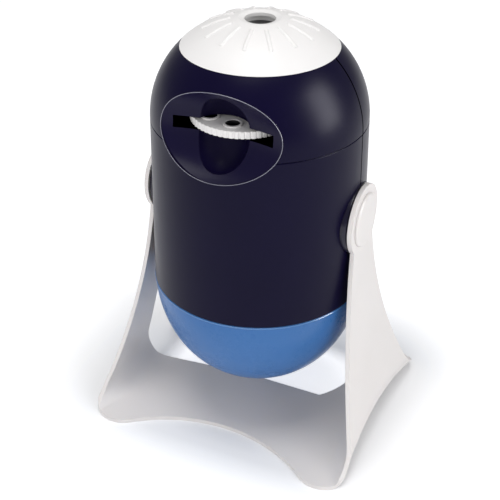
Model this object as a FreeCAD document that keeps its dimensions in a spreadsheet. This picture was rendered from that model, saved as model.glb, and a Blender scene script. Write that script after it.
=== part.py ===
import FreeCAD, Part
import math
import os
import re

import Sketcher

# Planetarium projector: a barrel that tips between the two arms of a swept stand.
# Frame: +X along the tilt axis, -Y the side with the slide slot, +Z up, ground at Z = 0.
# Every size is a cell of the sheet "dims"; solids are bound to the cells by expressions.

SIZES = {
    # Stand
    "strip_thickness": 2.4,
    "ground_trim": 0.02,
    "strip_overrun": 1.0,
    "pivot_height": 133.0,
    "head_radius": 19.4,
    "head_face": 60.75,
    "arm_sweep": 432.0,
    "bend_middle": 18.0,
    "bend_corner": 5.0,
    "neck_half_width": 13.6,
    "flank_radius": 400.0,
    "knee_height": 20.0,
    "knee_half_depth": 44.0,
    "flare_radius": 30.0,
    "toe_span": 63.5,
    "toe_depth": 50.5,
    "toe_radius": 16.0,
    "heel_angle": 15.3,
    "front_edge": 44.0,
    "rear_edge": 4.8,
    "rear_straight": 38.0,
    "window_start": 10.0,
    "window_turn": 60.0,
    "window_dip": 0.8,
    "window_end": 68.0,
    "window_heel": 4.0,
    "window_flare": 8.0,
    "window_knee": 12.0,
    "window_waist": 6.5,
    "window_back": 10.0,
    "window_head": 62.0,
    "window_foot": 36.0,
    "window_arch_share": 0.56,
    # Pivots
    "pin_radius": 8.0,
    "pin_head_radius": 14.6,
    "pin_head_height": 1.7,
    "pin_reach": 9.0,
    "pivot_fit": 0.05,
    "pin_end_gap": 0.5,
    "hub_gap": 0.2,
    "hub_flange_radius": 22.0,
    "hub_flange_face": 50.4,
    "hub_flange_thickness": 3.4,
    "hub_pad_width": 1.0,
    # Barrel shells
    "seam_drop": 46.8,
    "seam_radius": 58.5,
    "barrel_length": 95.5,
    "shoulder_radius": 57.0,
    "shoulder_sweep": 51.85,
    "shoulder_rise": 38.0,
    "wall": 2.4,
    "seam_bevel": 0.4,
    "neck_radius": 32.0,
    "neck_height": 3.0,
    "shell_fit": 0.2,
    "deck_ledge": 1.2,
    # Base dome
    "dome_inset": 0.2,
    "dome_flank": 74.0,
    "dome_tip": 56.0,
    "spigot_height": 6.0,
    # Port
    "port_rise": 8.45,
    "port_half_width": 33.0,
    "port_half_height": 21.65,
    "port_depth": 28.0,
    "port_tilt": 12.4,
    "dish_half_width": 53.0,
    "dish_half_height": 25.6,
    "dish_depth": 24.0,
    "dish_centre": 64.0,
    "dish_lift": 2.6,
    "scoop_half_width": 14.3,
    "scoop_half_height": 19.8,
    "scoop_depth": 12.7,
    "scoop_centre": 44.4,
    "scoop_drop": 1.1,
    # Slide disc
    "disc_offset": 19.0,
    "disc_radius": 27.3,
    "disc_thickness": 3.7,
    "disc_lift": 7.3,
    "slot_height": 6.1,
    "slot_half_width": 27.2,
    "knurl_count": 60.0,
    "knurl_radius": 0.7,
    "window_count": 8.0,
    "picture_radius": 3.75,
    "frame_width": 1.1,
    "frame_height": 0.8,
    "picture_turn": 9.0,
    "film_thickness": 0.4,
    "spindle_radius": 2.4,
    "spindle_shoulder": 4.0,
    "running_fit": 0.06,
    # Decks and light
    "deck_thickness": 2.4,
    "lamp_tower_radius": 13.0,
    "lamp_tower_height": 54.0,
    "led_radius": 5.0,
    "led_height": 6.0,
    "condenser_curve": 20.0,
    "condenser_drop": 8.0,
    "condenser_ledge": 0.8,
    "lens_deck_rise": 18.3,
    "leg_radius": 3.0,
    "leg_front_span": 40.0,
    "leg_front_depth": 8.0,
    "leg_rear_span": 28.0,
    "leg_rear_depth": 24.0,
    "guide_radius": 7.0,
    "guide_height": 13.6,
    "guide_wall": 1.2,
    # Focus cap and lens
    "cap_proud": 0.2,
    "cap_sphere": 61.2,
    "cap_wall": 2.2,
    "cap_hole": 7.9,
    "cap_lip": 10.8,
    "cap_dish": 0.7,
    "cap_land": 1.8,
    "sleeve_wall": 2.0,
    "sleeve_length": 20.5,
    "rib_count": 14.0,
    "rib_turn": 9.5,
    "rib_radius": 1.2,
    "rib_inner": 15.8,
    "rib_outer": 28.4,
    "rib_height": 0.7,
    "holder_radius": 9.4,
    "holder_length": 15.5,
    "holder_clearance": 2.7,
    "holder_socket": 8.5,
    "holder_flare": 0.9,
    "holder_flare_depth": 1.2,
    "lens_radius": 7.9,
    "lens_edge": 1.2,
    "lens_bulge": 1.3,
    "lens_seat": 1.4,
    # Supply, switch and fasteners at the back
    "cell_radius": 7.1,
    "cell_length": 49.2,
    "cell_pitch": 14.6,
    "cell_count": 4.0,
    "cell_play": 0.5,
    "cell_room": 3.9,
    "nub_height": 1.2,
    "box_rise": 9.8,
    "box_front": 27.5,
    "box_back": 45.0,
    "box_wall": 1.5,
    "tab_depth": 38.0,
    "tab_rise": 16.0,
    "tab_height": 40.0,
    "door_screw_drop": 4.0,
    "door_post_radius": 3.2,
    "door_half_width": 29.0,
    "door_margin": 0.6,
    "board_half_width": 22.0,
    "board_rise": 8.0,
    "board_height": 56.0,
    "board_thickness": 1.6,
    "screw_radius": 1.4,
    "screw_head": 2.8,
    "screw_head_height": 1.8,
    "screw_length": 14.0,
    "screw_seat": 6.0,
    "screw_span": 42.0,
    "screw_drop": 29.0,
    "screw_rise": 28.0,
    "boss_radius": 4.2,
    "switch_gap": 1.8,
    "switch_travel": 7.0,
    "switch_half_width": 2.8,
    "switch_half_height": 3.0,
    "switch_proud": 1.6,
    "switch_flange": 2.2,
    "switch_flange_depth": 2.0,
    "switch_play": 0.3,
    "switch_base_depth": 6.0,
}

# Values worked out from the sizes, spelled as expressions of them.
DERIVED = {
    "toe_reach": "(toe_depth + toe_radius)",
    "toe_side": "(toe_span + toe_radius)",
    "front_sweep": "((toe_span^2 + (toe_depth - front_edge)^2 - toe_radius^2)"
                   " / (2 * (toe_radius + toe_depth - front_edge)))",
    "front_joint_span": "(toe_span * front_sweep / (front_sweep + toe_radius))",
    "front_joint_depth": "(toe_depth + toe_radius * (front_edge + front_sweep - toe_depth)"
                         " / (front_sweep + toe_radius))",
    "heel_joint_span": "(toe_span - toe_radius * cos(heel_angle * 1 deg))",
    "heel_joint_depth": "(toe_depth - toe_radius * sin(heel_angle * 1 deg))",
    "heel_run": "(heel_joint_span - rear_straight)",
    "heel_rise": "(heel_joint_depth - rear_edge)",
    "rear_sweep": "((heel_run^2 + heel_rise^2) / (2 * (heel_run * cos(heel_angle * 1 deg)"
                  " + heel_rise * sin(heel_angle * 1 deg))))",
    "seam_height": "(pivot_height - seam_drop)",
    "shoulder_height": "(seam_height + barrel_length)",
    "shoulder_centre": "(shoulder_radius - shoulder_sweep)",
    "shoulder_top": "(shoulder_height + shoulder_rise)",
    "shoulder_top_radius": "(shoulder_centre + sqrt(shoulder_sweep^2 - shoulder_rise^2))",
    "shoulder_inner": "(shoulder_sweep - wall)",
    "dome_radius": "(seam_radius - dome_inset)",
    "dome_shift": "(dome_flank - dome_radius)",
    "dome_step": "(dome_flank - dome_tip)",
    "dome_drop": "sqrt(dome_step^2 - dome_shift^2)",
    "dome_tip_centre": "(seam_height - dome_drop)",
    "spigot_radius": "(seam_radius - wall - shell_fit)",
    "spigot_inner": "(spigot_radius - wall)",
    "port_height": "(shoulder_height + port_rise)",
    "disc_base": "(shoulder_height + disc_lift)",
    "disc_middle": "(disc_base + disc_thickness / 2)",
    "disc_deck_base": "(shoulder_height - deck_thickness)",
    "deck_seat_radius": "(shoulder_radius - wall + deck_ledge)",
    "lens_deck_base": "(shoulder_height + lens_deck_rise)",
    "lens_deck_top": "(lens_deck_base + deck_thickness)",
    "cap_rim": "(shoulder_top_radius + cap_proud)",
    "cap_centre": "(shoulder_top - sqrt(cap_sphere^2 - cap_rim^2))",
    "cap_inner": "(cap_sphere - cap_wall)",
    "cap_bore": "(neck_radius + running_fit)",
    "cap_crown": "(cap_centre + sqrt(cap_sphere^2 - cap_lip^2))",
    "cap_hole_top": "(cap_crown - cap_dish)",
    "cap_hole_base": "(cap_hole_top - cap_land)",
    "sleeve_bore": "(holder_radius + running_fit)",
    "sleeve_radius": "(sleeve_bore + sleeve_wall)",
    "sleeve_base": "(cap_hole_base - sleeve_length)",
    "holder_top": "(cap_hole_base - holder_clearance)",
    "holder_base": "(holder_top - holder_length)",
    "holder_seat": "(holder_base + holder_socket + lens_seat)",
    "hub_face": "(head_face - strip_thickness - hub_gap)",
    "screw_low": "(pivot_height - screw_drop)",
    "screw_high": "(pivot_height + screw_rise)",
    "box_base": "(seam_height + box_rise)",
    "box_top": "(box_base + cell_length + 2 * (cell_room + box_wall))",
    "box_half_width": "(cell_pitch * (cell_count - 1) / 2 + cell_radius + cell_play + box_wall)",
    "tab_base": "(box_base + tab_rise)",
    "board_base": "(box_base + board_rise)",
    "cell_back": "(box_front + box_wall + 2 * cell_radius)",
    "tower_base": "(disc_deck_base - lamp_tower_height)",
    "tower_inner": "(lamp_tower_radius - wall)",
    "door_screw_height": "(box_top - door_screw_drop)",
    "door_screw_seat": "(seam_radius + (shoulder_radius - seam_radius)"
                       " * (door_screw_height - seam_height) / barrel_length - screw_head_height / 2)",
    "flange_half_width": "(switch_half_width + switch_flange)",
    "flange_half_height": "(switch_half_height + switch_flange)",
    "switch_height": "(box_top + flange_half_height + switch_gap)",
    "flange_back": "(sqrt((shoulder_radius - wall)^2 - flange_half_width^2) - switch_play)",
    "flange_front": "(flange_back - switch_flange_depth)",
}

# Reach of the cutting and trimming blocks, larger than any part of the model.
FAR = "100"


def spelled_out(text):
    """Replace derived names by their expressions and sizes by sheet references."""
    def one(match):
        word = match.group()
        if word in DERIVED:
            return spelled_out(DERIVED[word])
        return "dims." + word if word in SIZES else word
    return re.sub(r"[a-z]\w*", one, text)


def number(text):
    """Value of an expression of the sizes, in millimetres or as a plain number."""
    value = dims.evalExpression(spelled_out(text))
    return float(getattr(value, "Value", value))


def make_sheet():
    """Fill the sheet with the driving sizes, one alias to a row."""
    sheet = doc.addObject("Spreadsheet::Sheet", "dims")
    for row, (alias, value) in enumerate(SIZES.items(), start=1):
        sheet.set(f"A{row}", alias)
        sheet.set(f"B{row}", str(value))
        sheet.setAlias(f"B{row}", alias)
    doc.recompute()
    return sheet


def place(piece, x="0", y="0", z="0", axis=None, turn=0.0):
    """Put a piece at bound coordinates, turned about an axis through its own origin."""
    if axis is not None:
        piece.Placement = FreeCAD.Placement(FreeCAD.Vector(), FreeCAD.Rotation(axis, turn))
    for letter, text in zip("xyz", (x, y, z)):
        if text != "0":
            piece.setExpression(f".Placement.Base.{letter}", spelled_out(text))
    return piece


def primitive(kind, name, sizes, **where):
    """A Part primitive with bound sizes."""
    piece = doc.addObject("Part::" + kind, name)
    for prop, text in sizes.items():
        piece.setExpression(prop, spelled_out(text))
    return place(piece, **where)


def box(name, low, high):
    """A block between two corners, each given as three expressions."""
    spans = [f"({top}) - ({base})" for base, top in zip(low, high)]
    sizes = dict(zip(("Length", "Width", "Height"), spans))
    return primitive("Box", name, sizes, x=low[0], y=low[1], z=low[2])


def rod(name, radius, length, **where):
    """A round bar along its own Z axis."""
    return primitive("Cylinder", name, {"Radius": radius, "Height": length}, **where)


ALONG_X = {"axis": FreeCAD.Vector(0, 1, 0), "turn": 90}
ALONG_Y = {"axis": FreeCAD.Vector(1, 0, 0), "turn": -90}


def cut(name, base, *tools):
    """Base less its tools."""
    piece = doc.addObject("Part::Cut", name)
    piece.Base = base
    piece.Tool = tools[0] if len(tools) == 1 else fuse(name + "_tools", *tools)
    return piece


def common(name, base, tool):
    """What two solids share."""
    piece = doc.addObject("Part::Common", name)
    piece.Base = base
    piece.Tool = tool
    return piece


def fuse(name, *pieces):
    """Pieces joined, or kept as one group where they lie apart."""
    piece = doc.addObject("Part::MultiFuse", name)
    piece.Shapes = list(pieces)
    return piece


def arc_between(start, end, radius, turn):
    """The short arc from start to end: turn is 1 anticlockwise, -1 clockwise."""
    chord = end - start
    rise = math.sqrt(max(radius ** 2 - (chord.Length / 2) ** 2, 0))
    side = FreeCAD.Vector(-chord.y, chord.x, 0).normalize()
    centre = (start + end) / 2 + side * rise * turn
    first, last = (start, end) if turn > 0 else (end, start)
    angles = [math.atan2(point.y - centre.y, point.x - centre.x) for point in (first, last)]
    circle = Part.Circle(centre, FreeCAD.Vector(0, 0, 1), radius)
    return Part.ArcOfCircle(circle, angles[0], angles[1])


def pin_down(sketch, geometry, vertex, values):
    """Fix one vertex of a sketch at bound coordinates."""
    for kind, axis, text in (("DistanceX", -2, values[0]), ("DistanceY", -1, values[1])):
        if text == "0":
            sketch.addConstraint(Sketcher.Constraint("PointOnObject", geometry, vertex, axis))
            continue
        item = Sketcher.Constraint(kind, -1, 1, geometry, vertex, number(text))
        index = sketch.addConstraint(item)
        sketch.setExpression(f"Constraints[{index}]", spelled_out(text))


def origin_plane(body, role):
    """One of a body's own origin planes."""
    return next(item for item in body.Origin.OriginFeatures if item.Role == role)


def new_sketch(body, name, role, lift="0"):
    """An empty sketch on an origin plane, lifted along the plane's normal."""
    sketch = body.newObject("Sketcher::SketchObject", name)
    sketch.AttachmentSupport = [(origin_plane(body, role), "")]
    sketch.MapMode = "FlatFace"
    if lift != "0":
        sketch.setExpression(".AttachmentOffset.Base.z", spelled_out(lift))
    return sketch


def outline(body, name, role, path):
    """A closed profile. A corner is (x, y), or (x, y, radius, turn) where an arc leaves it."""
    sketch = new_sketch(body, name, role)
    corners = [FreeCAD.Vector(number(row[0]), number(row[1]), 0) for row in path]
    ends = []
    for index, row in enumerate(path):
        start = corners[index]
        end = corners[(index + 1) % len(path)]
        if len(row) == 2:
            geometry = sketch.addGeometry(Part.LineSegment(start, end))
            ends.append((geometry, 1, 2))
            continue
        arc = arc_between(start, end, number(row[2]), row[3])
        geometry = sketch.addGeometry(arc)
        ends.append((geometry, 1, 2) if row[3] > 0 else (geometry, 2, 1))
    for index, (geometry, first, _) in enumerate(ends):
        before, _, last = ends[index - 1]
        sketch.addConstraint(Sketcher.Constraint("Coincident", before, last, geometry, first))
        pin_down(sketch, geometry, first, path[index])
    for (geometry, _, _), row in zip(ends, path):
        if len(row) > 2:
            item = Sketcher.Constraint("Radius", geometry, number(row[2]))
            index = sketch.addConstraint(item)
            sketch.setExpression(f"Constraints[{index}]", spelled_out(row[2]))
    return sketch


def ring_sketch(body, name, radius, across="0", along="0", lift="0"):
    """A circle in a plane across the Z axis."""
    sketch = new_sketch(body, name, "XY_Plane", lift)
    centre = FreeCAD.Vector(number(across), number(along), 0)
    sketch.addGeometry(Part.Circle(centre, FreeCAD.Vector(0, 0, 1), number(radius)))
    pin_down(sketch, 0, 3, (across, along))
    index = sketch.addConstraint(Sketcher.Constraint("Radius", 0, number(radius)))
    sketch.setExpression(f"Constraints[{index}]", spelled_out(radius))
    return sketch


def revolved(name, path, angle=360.0, reverse=False):
    """A body turned about Z from a profile of (radius, height) corners."""
    body = doc.addObject("PartDesign::Body", name)
    sketch = outline(body, name + "_profile", "XZ_Plane", path)
    turned = body.newObject("PartDesign::Revolution", name + "_turned")
    turned.Profile = sketch
    turned.ReferenceAxis = (sketch, ["V_Axis"])
    turned.Angle = angle
    turned.Reversed = reverse
    return body


def padded(name, role, path, depth, both_ways=False):
    """A body pushed out from a profile along its plane's normal."""
    body = doc.addObject("PartDesign::Body", name)
    sketch = outline(body, name + "_profile", role, path)
    pad = body.newObject("PartDesign::Pad", name + "_pad")
    pad.Profile = sketch
    pad.Midplane = both_ways
    pad.setExpression("Length", spelled_out(depth))
    return body


def finished(label, piece):
    """Name a piece's node."""
    piece.Label = label
    nodes[label] = piece
    return piece


# ---------------------------------------------------------------- stand

def strip_section(station, bend):
    """Wire of the bent strip at one station along Y, as a U with swept arms."""
    thick = number("strip_thickness")
    sweep = number("arm_sweep")
    face = number("head_face")
    pivot = number("pivot_height")
    top = pivot + 2 * number("head_radius")

    def side(inset):
        """Points of the right side from the top to the base, for one face of the strip."""
        arm_radius = sweep + inset
        bend_radius = bend - inset
        arm_x = face + sweep
        bend_x = arm_x - math.sqrt((sweep + bend) ** 2 - (pivot - bend) ** 2)
        reach = FreeCAD.Vector(bend_x - arm_x, 0, bend - pivot).normalize()
        arm_centre = FreeCAD.Vector(arm_x, 0, pivot)
        bend_centre = FreeCAD.Vector(bend_x, 0, bend)
        half = reach + FreeCAD.Vector(-1, 0, 0)
        down = FreeCAD.Vector(0, 0, -1) - reach
        return [
            FreeCAD.Vector(face - inset, 0, top),
            FreeCAD.Vector(face - inset, 0, pivot),
            arm_centre + half.normalize() * arm_radius,
            arm_centre + reach * arm_radius,
            bend_centre + down.normalize() * bend_radius,
            bend_centre + FreeCAD.Vector(0, 0, -bend_radius),
        ]

    def mirrored(points):
        return [FreeCAD.Vector(-point.x, 0, point.z) for point in reversed(points)]

    def run(points):
        """Edges line, arc, arc through one side's points."""
        first = Part.LineSegment(points[0], points[1]).toShape()
        arm = Part.Arc(points[1], points[2], points[3]).toShape()
        corner = Part.Arc(points[3], points[4], points[5]).toShape()
        return [first, arm, corner]

    def back_run(points):
        """Edges arc, arc, line through the mirrored side's points."""
        corner = Part.Arc(points[0], points[1], points[2]).toShape()
        arm = Part.Arc(points[2], points[3], points[4]).toShape()
        last = Part.LineSegment(points[4], points[5]).toShape()
        return [corner, arm, last]

    outer = side(0)
    inner = side(thick)
    outer_left = mirrored(outer)
    inner_left = mirrored(inner)
    edges = run(outer)
    edges.append(Part.LineSegment(outer[-1], outer_left[0]).toShape())
    edges += back_run(outer_left)
    edges.append(Part.LineSegment(outer_left[-1], inner_left[-1]).toShape())
    edges += back_run(inner_left)
    edges.append(Part.LineSegment(inner_left[0], inner[-1]).toShape())
    edges += run(inner)
    edges.append(Part.LineSegment(inner[0], outer[0]).toShape())
    wire = Part.Wire(Part.sortEdges(edges)[0])
    wire.translate(FreeCAD.Vector(0, station, -number("ground_trim")))
    return wire


def make_stand():
    """Bent strip with a bend that tightens towards its toes, trimmed to its outlines."""
    reach = number("toe_reach + strip_overrun")
    bends = {-1: "bend_corner", -0.5: "(bend_corner + 3 * bend_middle) / 4", 0: "bend_middle"}
    stations = sorted(bends) + [0.5, 1]
    wires = [strip_section(step * reach, number(bends[-abs(step)])) for step in stations]
    strip = doc.addObject("Part::Feature", "bent_strip")
    strip.Shape = Part.makeLoft(wires, True, False)

    neck_height = "pivot_height - sqrt(head_radius^2 - neck_half_width^2)"
    toe = "toe_reach + strip_overrun / 2"
    side_view = [
        (f"-({toe})", "0"), (toe, "0"),
        (toe, "strip_thickness", "flare_radius", -1),
        ("knee_half_depth", "knee_height", "flank_radius", -1),
        ("neck_half_width", neck_height, "head_radius", 1),
        ("0", "pivot_height + head_radius", "head_radius", 1),
        ("-neck_half_width", neck_height, "flank_radius", -1),
        ("-knee_half_depth", "knee_height", "flare_radius", -1),
        (f"-({toe})", "strip_thickness"),
    ]
    side_prism = padded("stand_side_view", "YZ_Plane", side_view, "4 * " + FAR, True)

    right = [
        ("front_joint_span", "-front_joint_depth", "toe_radius", 1),
        ("toe_side", "-toe_depth"), (FAR, "-toe_depth"), (FAR, "toe_depth"),
        ("toe_side", "toe_depth", "toe_radius", 1),
        ("toe_span", "toe_reach", "toe_radius", 1),
        ("heel_joint_span", "heel_joint_depth", "rear_sweep", -1),
        ("rear_straight", "rear_edge"),
    ]
    left = [
        ("-rear_straight", "rear_edge", "rear_sweep", -1),
        ("-heel_joint_span", "heel_joint_depth", "toe_radius", 1),
        ("-toe_span", "toe_reach", "toe_radius", 1),
        ("-toe_side", "toe_depth"), ("-" + FAR, "toe_depth"), ("-" + FAR, "-toe_depth"),
        ("-toe_side", "-toe_depth", "toe_radius", 1),
        ("-front_joint_span", "-front_joint_depth", "front_sweep", -1),
    ]
    plan_prism = padded("stand_plan_view", "XY_Plane", right + left, "4 * " + FAR, True)

    arch = padded("window_side_view", "YZ_Plane", [
        ("-window_heel", "-strip_thickness"), ("window_foot", "-strip_thickness"),
        ("window_back", "window_head", "(window_back + window_waist) * window_arch_share", 1),
        ("-window_waist", "window_head"), ("-window_heel", "window_knee"),
    ], "4 * " + FAR, True)
    footprint = padded("window_plan_view", "XY_Plane", [
        ("-window_start", "rear_edge"), ("-window_start", FAR), ("-" + FAR, FAR),
        ("-" + FAR, "-window_flare"), ("-window_end", "-window_heel"),
        ("-window_turn", "-window_dip"),
    ], "4 * " + FAR, True)
    opening = common("stand_window", arch, footprint)

    bores = rod("stand_bores", "pin_radius + pivot_fit", "2 * " + FAR,
                x="-" + FAR, z="pivot_height", **ALONG_X)
    spots = [rod(f"spot_face_{side}", "pin_head_radius + shell_fit", FAR,
                 x=start, z="pivot_height", **ALONG_X)
             for side, start in (("right", "head_face"), ("left", f"-head_face - {FAR}"))]
    trimmed = common("stand_in_side_view", strip, side_prism)
    waisted = common("stand_in_plan_view", trimmed, plan_prism)
    return finished("stand_frame", cut("stand_frame_cut", waisted, opening, bores, *spots))


def make_pivots():
    """Button-headed pins in the arms and the barrel's hubs that turn on them."""
    pin = [
        ("0", "head_face - strip_thickness - pin_reach"),
        ("pin_radius - seam_bevel", "head_face - strip_thickness - pin_reach"),
        ("pin_radius", "head_face - strip_thickness - pin_reach + seam_bevel"),
        ("pin_radius", "head_face"),
        ("pin_head_radius", "head_face"),
        ("pin_head_radius", "head_face + pin_head_height / 2", "pin_head_height", 1),
        ("pin_head_radius - pin_head_height", "head_face + pin_head_height"),
        ("0", "head_face + pin_head_height"),
    ]
    bore = "pin_radius + running_fit"
    back = "hub_flange_face - hub_flange_thickness"
    hub = [
        ("0", back), ("hub_flange_radius", back),
        ("hub_flange_radius", "hub_flange_face"), ("head_radius", "hub_flange_face"),
        ("head_radius", "hub_face - wall", "wall", 1),
        ("head_radius - wall", "hub_face"), (bore, "hub_face"),
        (bore, "hub_face + hub_gap - pin_reach - pin_end_gap"),
        ("0", "hub_face + hub_gap - pin_reach - pin_end_gap"),
    ]
    for side, turn in (("right", 90), ("left", -90)):
        for kind, path in (("pivot_pin", pin), ("hub", hub)):
            body = revolved(f"{kind}_{side}_body", path)
            place(body, z="pivot_height", axis=FreeCAD.Vector(0, 1, 0), turn=turn)
            finished(f"{kind}_{side}", body)


# ---------------------------------------------------------------- barrel

ENVELOPE = [
    ("0", "seam_height"), ("seam_radius", "seam_height"),
    ("shoulder_radius", "shoulder_height", "shoulder_sweep", 1),
    ("shoulder_top_radius", "shoulder_top"), ("0", "shoulder_top"),
]


def make_hollow():
    """The room inside the lower shells, for parts that reach their walls."""
    return revolved("barrel_hollow", [
        ("0", "seam_height"), ("seam_radius - wall", "seam_height"),
        ("shoulder_radius - wall", "disc_deck_base"), ("0", "disc_deck_base"),
    ])


def ellipse_prism(name, growth):
    """The port's oval pushed through the front wall."""
    oval = primitive("Ellipse", name + "_oval", {
        "MajorRadius": f"port_half_width + {growth}",
        "MinorRadius": f"port_half_height + {growth}",
    }, y="-port_depth", z="port_height", axis=FreeCAD.Vector(1, 0, 0), turn=90)
    prism = doc.addObject("Part::Extrusion", name)
    prism.Base = oval
    prism.DirMode = "Custom"
    prism.Dir = FreeCAD.Vector(0, -1, 0)
    prism.setExpression("LengthFwd", spelled_out("seam_radius"))
    prism.Solid = True
    return prism


def door_block(name, margin):
    """Block of the battery door's outline, grown by a margin."""
    half = f"(door_half_width + {margin})"
    return box(name, (f"-{half}", "box_front", f"box_base + door_margin - {margin}"),
               (half, FAR, f"box_top - door_margin + {margin}"))


def screw_places():
    """Names and places of the four screws that join the lower shells."""
    for side, sign in (("right", ""), ("left", "-")):
        for level in ("low", "high"):
            yield f"{side}_{level}", f"{sign}screw_span", f"screw_{level}"


def make_lower_shells():
    """Two halves split in the pivot plane, with screw bosses that meet there."""
    wall_path = [
        ("seam_radius - wall", "seam_height"),
        ("seam_radius - seam_bevel", "seam_height"),
        ("seam_radius", "seam_height + seam_bevel"),
        ("shoulder_radius", "shoulder_height - seam_bevel"),
        ("shoulder_radius - seam_bevel", "shoulder_height"),
        ("deck_seat_radius", "shoulder_height"),
        ("deck_seat_radius", "disc_deck_base"),
        ("shoulder_radius - wall", "disc_deck_base"),
    ]
    core_path = [
        ("0", "seam_height"), ("seam_radius - wall / 2", "seam_height"),
        ("shoulder_radius - wall / 2", "shoulder_height"), ("0", "shoulder_height"),
    ]
    hub_holes = rod("hub_holes", "head_radius + shell_fit", "2 * " + FAR,
                    x="-" + FAR, z="pivot_height", **ALONG_X)
    for half, front in (("front", True), ("rear", False)):
        wall = revolved(f"lower_{half}_wall", wall_path, 180.0, front)
        core = revolved(f"lower_{half}_core", core_path, 180.0, front)
        inside = [rod(f"{half}_pad_{side}", "hub_flange_radius + hub_pad_width", FAR,
                      x=start, z="pivot_height", **ALONG_X)
                  for side, start in (("right", "hub_flange_face"),
                                      ("left", f"-hub_flange_face - {FAR}"))]
        tools = [hub_holes]
        for name, across, level in screw_places():
            inside.append(rod(f"{half}_boss_{name}", "boss_radius", "2 * seam_radius",
                              x=across, y="-seam_radius", z=level, **ALONG_Y))
            tools.append(rod(f"{half}_pilot_{name}", "screw_radius + running_fit",
                             "screw_length + wall", x=across,
                             y="screw_seat - screw_length - wall", z=level, **ALONG_Y))
            if not front:
                tools.append(rod(f"screw_sink_{name}", "screw_head + shell_fit", FAR,
                                 x=across, y="screw_seat", z=level, **ALONG_Y))
        if front:
            tools.append(ellipse_prism("lower_port_hole", "shell_fit"))
        else:
            tools.append(door_block("door_opening", "shell_fit"))
            tools.append(switch_slot())
        fittings = common(f"{half}_fittings", fuse(f"{half}_inside", *inside), core)
        body = fuse(f"lower_{half}_joined", wall, fittings)
        finished(f"lower_shell_{half}", cut(f"lower_{half}_cut", body, *tools))


def switch_slot():
    """Slot in the rear wall along the switch's travel."""
    half = "(switch_half_width + shell_fit)"
    tall = "(switch_half_height + shell_fit)"
    return box("switch_slot", (f"-{half}", "box_back", f"switch_height - {tall}"),
               (half, FAR, f"switch_height + switch_travel + {tall}"))


def make_upper_shells():
    """Domed shoulder halves with a neck that the focus cap turns on."""
    wall_path = [
        ("shoulder_radius - seam_bevel", "shoulder_height"),
        ("shoulder_radius", "shoulder_height + seam_bevel", "shoulder_sweep", 1),
        ("shoulder_top_radius", "shoulder_top"),
        ("neck_radius", "shoulder_top"),
        ("neck_radius", "shoulder_top + neck_height"),
        ("neck_radius - wall", "shoulder_top + neck_height"),
        ("neck_radius - wall", "shoulder_top - wall"),
        ("shoulder_centre + sqrt(shoulder_inner^2 - (shoulder_rise - wall)^2)",
         "shoulder_top - wall", "shoulder_inner", -1),
        ("shoulder_radius - wall", "shoulder_height"),
    ]
    front = revolved("upper_front_wall", wall_path, 180.0, True)
    port_hole = ellipse_prism("upper_port_hole", "shell_fit")
    finished("upper_shell_front", cut("upper_front_cut", front, port_hole))
    finished("upper_shell_rear", revolved("upper_rear_wall", wall_path, 180.0, False))


def make_base_dome():
    """Round bottom whose spigot plugs into the lower shells."""
    lean = "dome_shift / dome_step"
    fall = "dome_drop / dome_step"
    inner = "(dome_flank - wall)"
    ledge = "(seam_height - 2 * wall)"
    finished("base_dome", revolved("base_dome_body", [
        ("0", "dome_tip_centre - dome_tip", "dome_tip", 1),
        (f"dome_flank * {lean} - dome_shift", f"seam_height - dome_flank * {fall}", "dome_flank", 1),
        ("dome_radius", "seam_height"),
        ("spigot_radius", "seam_height"),
        ("spigot_radius", "seam_height + spigot_height"),
        ("spigot_inner", "seam_height + spigot_height"),
        ("spigot_inner", ledge),
        (f"sqrt({inner}^2 - (3 * wall)^2) - dome_shift", "seam_height - 3 * wall", inner, -1),
        (f"{inner} * {lean} - dome_shift", f"seam_height - {inner} * {fall}", "dome_tip - wall", -1),
        ("0", "dome_tip_centre - dome_tip + wall"),
    ]))


def make_port_insert(envelope):
    """Oval dish in the front wall, with a finger scoop and the slide disc's slot."""
    tilt = {"axis": FreeCAD.Vector(1, 0, 0), "turn": -number("port_tilt")}
    dish = primitive("Ellipsoid", "port_dish", {
        "Radius1": "dish_half_height", "Radius2": "dish_half_width", "Radius3": "dish_depth",
    }, y="-dish_centre", z="port_height + dish_lift", **tilt)
    scoop = primitive("Ellipsoid", "port_scoop", {
        "Radius1": "scoop_half_height", "Radius2": "scoop_half_width", "Radius3": "scoop_depth",
    }, y="-scoop_centre", z="port_height - scoop_drop", **tilt)
    slot = box("port_slot", ("-slot_half_width", "-" + FAR, "disc_middle - slot_height / 2"),
               ("slot_half_width", "0", "disc_middle + slot_height / 2"))
    plug = common("port_plug", envelope, ellipse_prism("port_block", "0"))
    finished("port_insert", cut("port_insert_cut", plug, dish, scoop, slot))


# ---------------------------------------------------------------- slide disc and light

def patterned(body, name, features, count):
    """Repeat features evenly round the body's Z axis."""
    pattern = body.newObject("PartDesign::PolarPattern", name)
    pattern.Originals = features
    pattern.Axis = (features[0].Profile[0], ["N_Axis"])
    pattern.Angle = 360
    pattern.setExpression("Occurrences", spelled_out(count))
    body.Tip = pattern
    return pattern


def raised(body, name, sketch, height):
    """A pad on a body."""
    pad = body.newObject("PartDesign::Pad", name)
    pad.Profile = sketch
    pad.setExpression("Length", spelled_out(height))
    return pad


def bored(body, name, sketch):
    """A pocket through all of a body, downwards from its sketch."""
    pocket = body.newObject("PartDesign::Pocket", name)
    pocket.Profile = sketch
    pocket.Type = "ThroughAll"
    pocket.Midplane = True
    return pocket


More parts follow.
